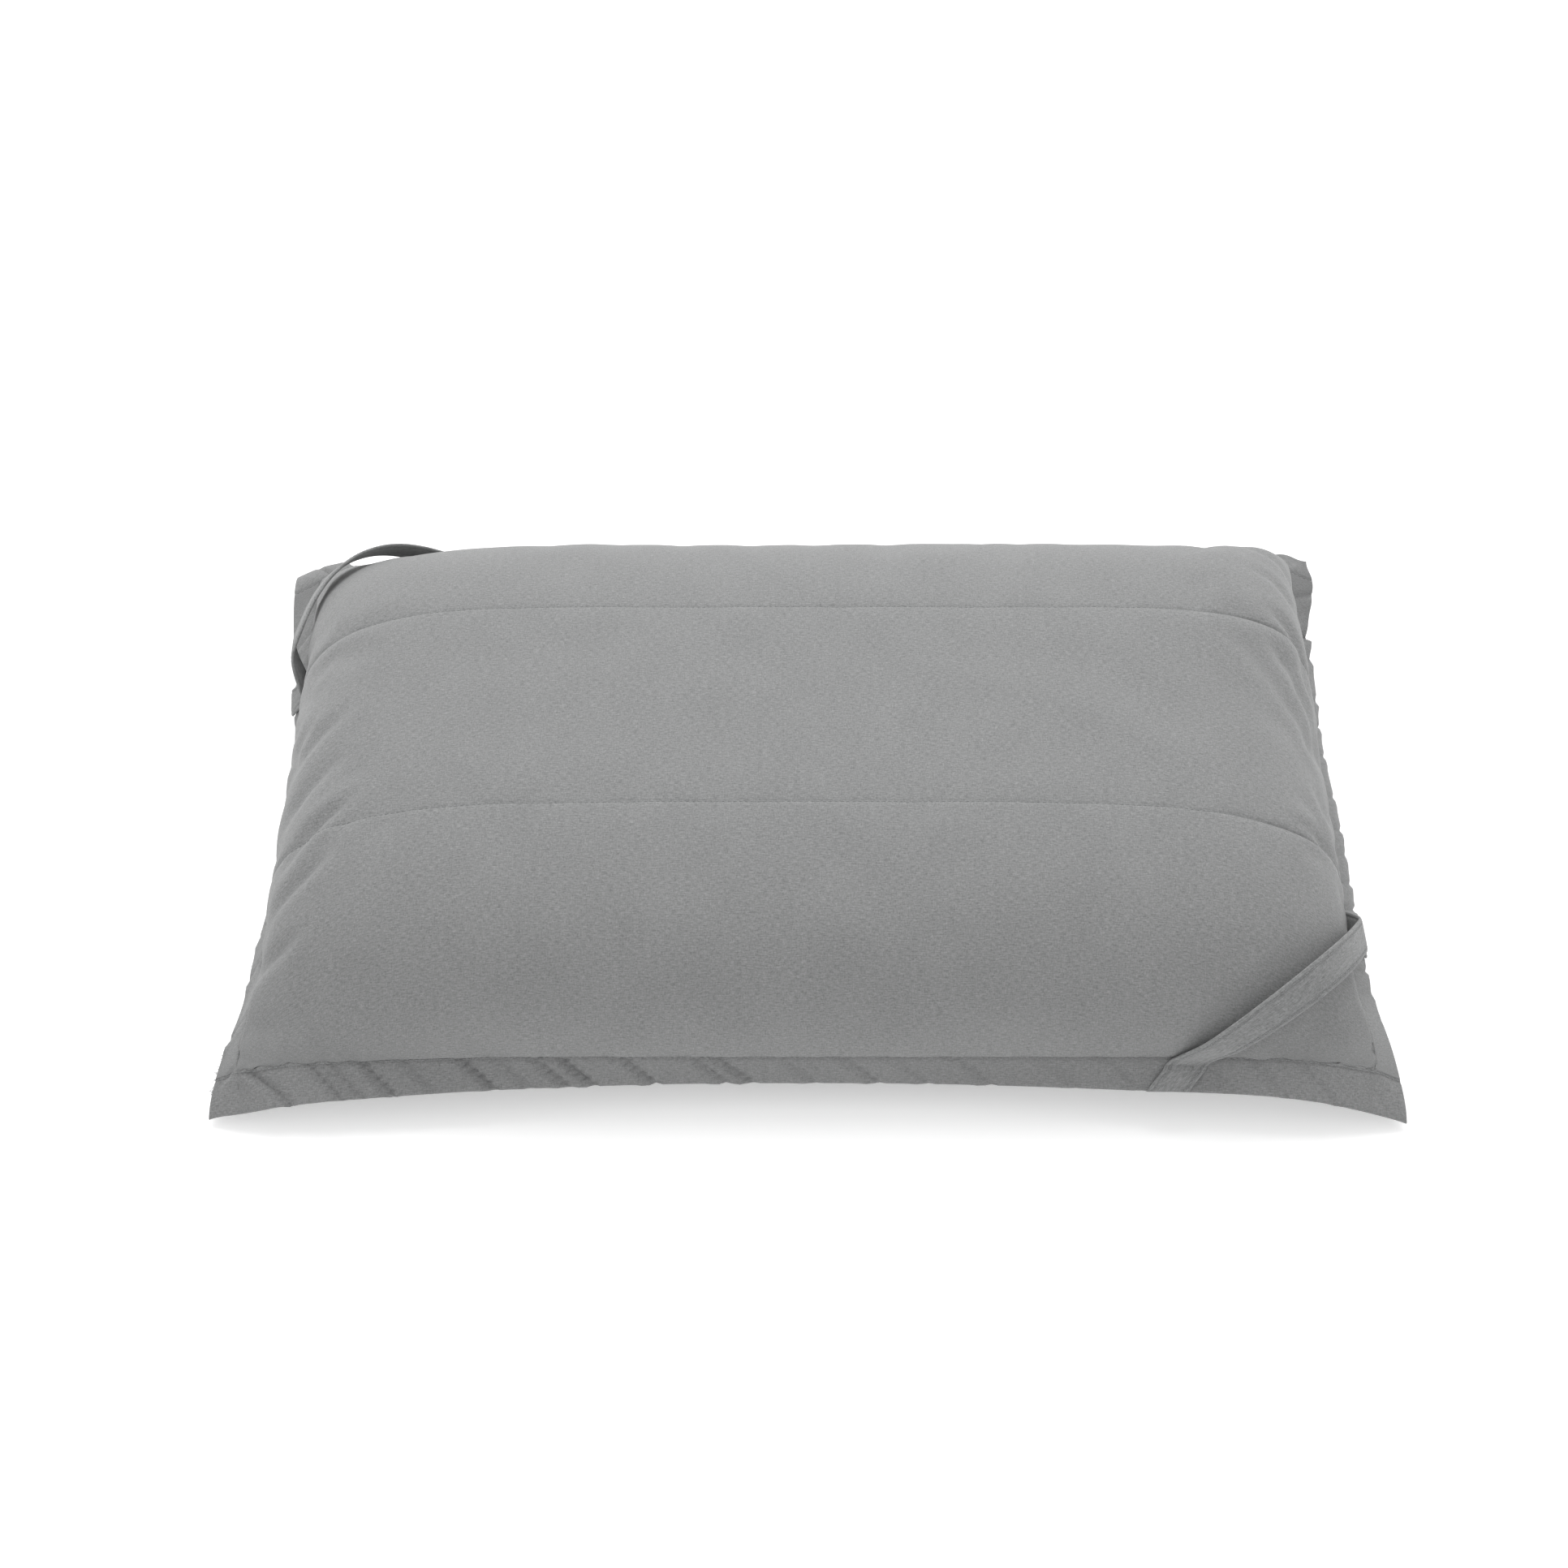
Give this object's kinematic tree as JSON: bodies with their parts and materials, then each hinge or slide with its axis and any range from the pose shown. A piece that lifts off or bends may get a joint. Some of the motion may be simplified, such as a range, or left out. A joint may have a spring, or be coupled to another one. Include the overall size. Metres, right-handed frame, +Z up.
{
  "type": "kneeling pad",
  "caption": "Stuffed fabric kneeling pad with a crowned quilted top, a stitched flange all round and self-fabric straps across opposite corners.",
  "frame": {"origin": "on the floor, under the middle of the pad", "axes": "+X to the right along the long side, +Y to the rear, +Z up out of the crowned kneeling face"},
  "size_m": [0.6008, 0.3809, 0.117],
  "materials": {
    "cover_fabric": "matte heathered grey plain weave",
    "base_fabric": "matte heathered grey plain weave",
    "strap_fabric": "folded self-fabric with edge stitching",
    "thread": "matte sewing thread",
    "wadding": "lofted polyester wadding",
    "backing_cloth": "thin bonded backing cloth",
    "fibre": "loose polyester fibre",
    "foam": "open-cell cushion foam"
  },
  "bodies": {
    "pad": {"top_cover": "cover_fabric", "bottom_cover": "base_fabric", "quilted_wadding": "wadding", "quilt_backing_cloth": "backing_cloth", "fibre_fill": "fibre", "foam_core": "foam", "flange_needle_thread": "thread", "flange_bobbin_thread": "thread", "closing_seam_thread": "thread", "quilting_thread_front": "thread", "quilting_thread_rear": "thread", "front_strap_tab": "strap_fabric", "front_strap_tab_tack_thread": "thread", "right_strap_tab": "strap_fabric", "right_strap_tab_tack_thread": "thread", "rear_strap_tab": "strap_fabric", "rear_strap_tab_tack_thread": "thread", "left_strap_tab": "strap_fabric", "left_strap_tab_tack_thread": "thread"},
    "front_right_loop": {"front_right_strap": "strap_fabric", "front_right_strap_inner_edge_thread": "thread", "front_right_strap_outer_edge_thread": "thread"},
    "rear_left_loop": {"rear_left_strap": "strap_fabric", "rear_left_strap_inner_edge_thread": "thread", "rear_left_strap_outer_edge_thread": "thread"}
  },
  "joints": [
    {"name": "front_right_strap_swing", "type": "hinge", "parent": "pad", "child": "front_right_loop", "pos_m": [0.204, -0.175, 0.037], "axis": [0.7395, 0.6731, 0], "range_deg": [0, 30]},
    {"name": "rear_left_strap_swing", "type": "hinge", "parent": "pad", "child": "rear_left_loop", "pos_m": [-0.204, 0.175, 0.037], "axis": [-0.7395, -0.6731, 0], "range_deg": [0, 30]}
  ]
}
